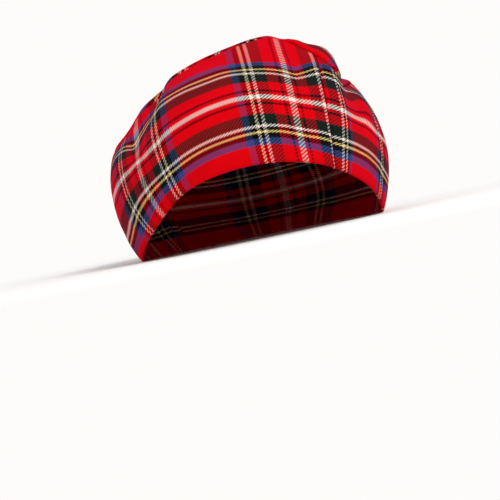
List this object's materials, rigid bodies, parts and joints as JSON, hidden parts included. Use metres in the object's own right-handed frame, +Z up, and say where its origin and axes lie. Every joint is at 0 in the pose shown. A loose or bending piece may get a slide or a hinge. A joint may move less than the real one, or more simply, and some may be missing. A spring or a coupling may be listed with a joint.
{
  "type": "tam o shanter",
  "caption": "Soft tartan cloth hat with a tall side, a slouched round top and an arched front rim, open underneath for the head.",
  "frame": {"origin": "middle of the hat's outline seen from above, on the surface that it rests on", "axes": "+Z up, -Y to the front of the hat where the rim arches up, +X to the right seen from the front"},
  "size_m": [0.2206, 0.2552, 0.1511],
  "materials": {
    "tartan_cloth": "matte woven wool twill in a red tartan"
  },
  "bodies": {
    "root": {"front_panel": "tartan_cloth", "back_panel": "tartan_cloth", "top_panel": "tartan_cloth"}
  },
  "joints": []
}
